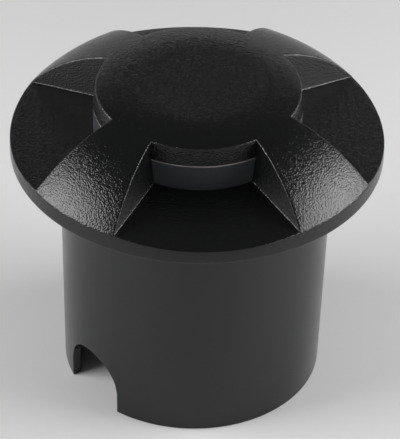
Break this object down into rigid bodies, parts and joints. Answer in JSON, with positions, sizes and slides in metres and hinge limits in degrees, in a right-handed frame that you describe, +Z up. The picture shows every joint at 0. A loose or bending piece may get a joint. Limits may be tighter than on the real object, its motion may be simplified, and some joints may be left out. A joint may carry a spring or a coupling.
{
  "type": "in-ground well light",
  "caption": "Domed in-ground light: a four-window cover on a sealed head that lifts and turns in a tapered sleeve with a cable arch.",
  "frame": {"origin": "centre of the sleeve's foot, at the lowest point", "axes": "+Z up along the sleeve's axis; windows face -Y (front), +X, +Y and -X"},
  "size_m": [0.14, 0.14, 0.1274],
  "materials": {
    "powder_coat": "black fine-textured powder coat on cast aluminium",
    "moulded_black": "satin moulded black polypropylene",
    "frosted_lens": "smoke-tinted frosted polycarbonate",
    "silicone": "moulded silicone",
    "foam_rubber": "closed-cell rubber",
    "stainless": "turned stainless steel",
    "spring_steel": "rolled spring steel",
    "cast_aluminium": "as-cast aluminium",
    "board_white": "white solder mask",
    "board_green": "green solder mask",
    "phosphor": "phosphor gel",
    "reflector_white": "white moulded polycarbonate",
    "brass": "turned brass",
    "ferrite": "sintered ferrite and tape",
    "capacitor_sleeve": "shrink sleeve",
    "winding": "enamelled wire",
    "terminal_grey": "moulded polyamide",
    "connector_white": "moulded polyamide",
    "lead_insulation": "extruded lead insulation",
    "thermal_film": "thermal silicone film",
    "nylon_black": "moulded black polyamide",
    "acetal": "natural acetal"
  },
  "bodies": {
    "sleeve": {"ground_sleeve": "moulded_black", "mouth_seal": "foam_rubber"},
    "grip_ring": {"spring_ring": "acetal"},
    "light_head": {"turret_cover": "powder_coat", "cover_gasket": "silicone", "cover_screws": "stainless", "diffuser": "frosted_lens", "diffuser_gasket": "silicone", "reflector": "reflector_white", "reflector_screw": "stainless", "led_board": "board_white", "led_chips": "phosphor", "board_screws": "stainless", "thermal_pad": "thermal_film", "lead_connector": "connector_white", "led_leads": "lead_insulation", "lead_grommet": "foam_rubber", "housing": "cast_aluminium", "driver_board": "board_green", "driver_standoffs": "brass", "driver_screws": "stainless", "driver_transformer": "ferrite", "driver_capacitor": "capacitor_sleeve", "driver_choke": "winding", "terminal_block": "terminal_grey", "bottom_cap": "cast_aluminium", "cap_gasket": "silicone", "cap_screws": "stainless", "gland_washer": "foam_rubber", "gland_body": "nylon_black", "ring_circlip": "spring_steel"},
    "leaf_a": {"leaf_spring_a": "spring_steel"},
    "leaf_b": {"leaf_spring_b": "spring_steel"},
    "leaf_c": {"leaf_spring_c": "spring_steel"},
    "gland_insert": {"gland_seal": "foam_rubber"},
    "clamp_nut": {"gland_nut": "nylon_black"}
  },
  "joints": [
    {"name": "head_lift", "type": "slide", "parent": "sleeve", "child": "grip_ring", "axis": [0, 0, 1], "range_m": [0, 0.075]},
    {"name": "head_turn", "type": "hinge", "parent": "grip_ring", "child": "light_head", "pos_m": [0, 0, 0.0682], "axis": [0, 0, 1], "continuous": true},
    {"name": "leaf_a_flex", "type": "hinge", "parent": "grip_ring", "child": "leaf_a", "pos_m": [0.0401, 0, 0.0642], "axis": [0, 1, 0], "range_deg": [0, 4], "stiffness_Nm_per_rad": 0.4, "springref_deg": -2.86},
    {"name": "leaf_b_flex", "type": "hinge", "parent": "grip_ring", "child": "leaf_b", "pos_m": [-0.02005, 0.03473, 0.0642], "axis": [-0.866, -0.5, 0], "range_deg": [0, 4], "stiffness_Nm_per_rad": 0.4, "springref_deg": -2.86},
    {"name": "leaf_c_flex", "type": "hinge", "parent": "grip_ring", "child": "leaf_c", "pos_m": [-0.02005, -0.03473, 0.0642], "axis": [0.866, -0.5, 0], "range_deg": [0, 4], "stiffness_Nm_per_rad": 0.4, "springref_deg": -2.86},
    {"name": "gland_nut_turn", "type": "hinge", "parent": "gland_insert", "child": "clamp_nut", "pos_m": [0, 0, 0.0361], "axis": [0, 0, 1], "range_deg": [0, 720]},
    {"name": "gland_squeeze", "type": "slide", "parent": "light_head", "child": "gland_insert", "axis": [0, 0, 1], "range_m": [0, 0.00301]}
  ],
  "couplings": [
    {"joint": "gland_squeeze", "follows": "gland_nut_turn", "m_per_rad": 0.00023873}
  ]
}
